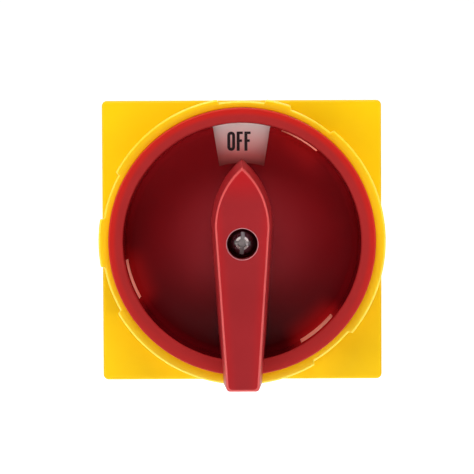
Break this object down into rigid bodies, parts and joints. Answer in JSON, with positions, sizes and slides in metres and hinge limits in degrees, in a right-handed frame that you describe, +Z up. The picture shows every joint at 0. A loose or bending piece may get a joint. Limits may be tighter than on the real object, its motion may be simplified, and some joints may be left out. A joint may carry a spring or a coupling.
{
  "type": "rotary isolator switch",
  "caption": "Panel-mounted rotary isolator with a padlockable red thumb-grip handle, yellow front plate, cam contact decks and screw terminals.",
  "frame": {"origin": "on the shaft's axis at the front face of the panel that the switch is clamped to", "axes": "-Y out of the panel towards the user, +Y along the shaft to the rear, +Z up with the grip's pointer at OFF, +X to the user's right"},
  "size_m": [0.0648, 0.0791, 0.0646],
  "materials": {
    "red_plastic": "satin rim and grip, glossy dish",
    "yellow_plastic": "fine satin moulding",
    "silver_label": "satin, printed",
    "black_rubber": "matt",
    "black_plastic": "fine moulding grain",
    "grey_plastic": "fine moulding grain",
    "white_plastic": "smooth moulding",
    "zinc_steel": "bright zinc plate",
    "spring_steel": "polished",
    "copper": "bright copper with silvered tips",
    "brass": "stamped"
  },
  "bodies": {
    "base": {"lock_ring": "yellow_plastic", "front_plate": "yellow_plastic", "legend_plate": "silver_label", "panel_gasket": "black_rubber", "shaft_seal": "black_rubber", "latch_housing": "black_plastic", "detent_spring_left": "spring_steel", "detent_spring_right": "spring_steel", "deck_1_housing": "grey_plastic", "deck_2_housing": "grey_plastic", "rear_cover": "black_plastic", "through_bolt_top": "zinc_steel", "through_bolt_bottom": "zinc_steel", "mounting_screw_1": "zinc_steel", "mounting_nut_1": "brass", "mounting_screw_2": "zinc_steel", "mounting_nut_2": "brass", "mounting_screw_3": "zinc_steel", "mounting_nut_3": "brass", "mounting_screw_4": "zinc_steel", "mounting_nut_4": "brass", "pole_1_spring": "spring_steel", "pole_1_line_contact": "brass", "pole_1_line_clamp": "zinc_steel", "pole_1_line_screw": "zinc_steel", "pole_1_load_contact": "brass", "pole_1_load_clamp": "zinc_steel", "pole_1_load_screw": "zinc_steel", "pole_2_spring": "spring_steel", "pole_2_line_contact": "brass", "pole_2_line_clamp": "zinc_steel", "pole_2_line_screw": "zinc_steel", "pole_2_load_contact": "brass", "pole_2_load_clamp": "zinc_steel", "pole_2_load_screw": "zinc_steel", "pole_3_spring": "spring_steel", "pole_3_line_contact": "brass", "pole_3_line_clamp": "zinc_steel", "pole_3_line_screw": "zinc_steel", "pole_3_load_contact": "brass", "pole_3_load_clamp": "zinc_steel", "pole_3_load_screw": "zinc_steel"},
    "rotor": {"handle": "red_plastic", "handle_screw": "zinc_steel", "handle_screw_washer": "spring_steel", "drive_shaft": "zinc_steel", "shaft_clip": "spring_steel", "index_star": "white_plastic", "stop_plate": "zinc_steel", "cam_1": "white_plastic", "cam_2": "white_plastic"},
    "pole_1_moving_contact": {"pole_1_plunger": "white_plastic", "pole_1_bridge": "copper"},
    "pole_2_moving_contact": {"pole_2_plunger": "white_plastic", "pole_2_bridge": "copper"},
    "pole_3_moving_contact": {"pole_3_plunger": "white_plastic", "pole_3_bridge": "copper"}
  },
  "joints": [
    {"name": "handle_turn", "type": "hinge", "parent": "base", "child": "rotor", "pos_m": [0, 0, 0], "axis": [0, 1, 0], "range_deg": [0, 90], "deforming": ["detent_spring_left", "detent_spring_right"]},
    {"name": "pole_1_close", "type": "slide", "parent": "base", "child": "pole_1_moving_contact", "axis": [-1, 0, 0], "range_m": [0, 0.003], "deforming": ["pole_1_spring"]},
    {"name": "pole_2_close", "type": "slide", "parent": "base", "child": "pole_2_moving_contact", "axis": [1, 0, 0], "range_m": [0, 0.003], "deforming": ["pole_2_spring"]},
    {"name": "pole_3_close", "type": "slide", "parent": "base", "child": "pole_3_moving_contact", "axis": [-1, 0, 0], "range_m": [0, 0.003], "deforming": ["pole_3_spring"]}
  ],
  "couplings": [
    {"joint": "pole_1_close", "follows": "handle_turn", "m_per_rad": 0.0019098},
    {"joint": "pole_2_close", "follows": "handle_turn", "m_per_rad": 0.0019098},
    {"joint": "pole_3_close", "follows": "handle_turn", "m_per_rad": 0.0019098}
  ]
}
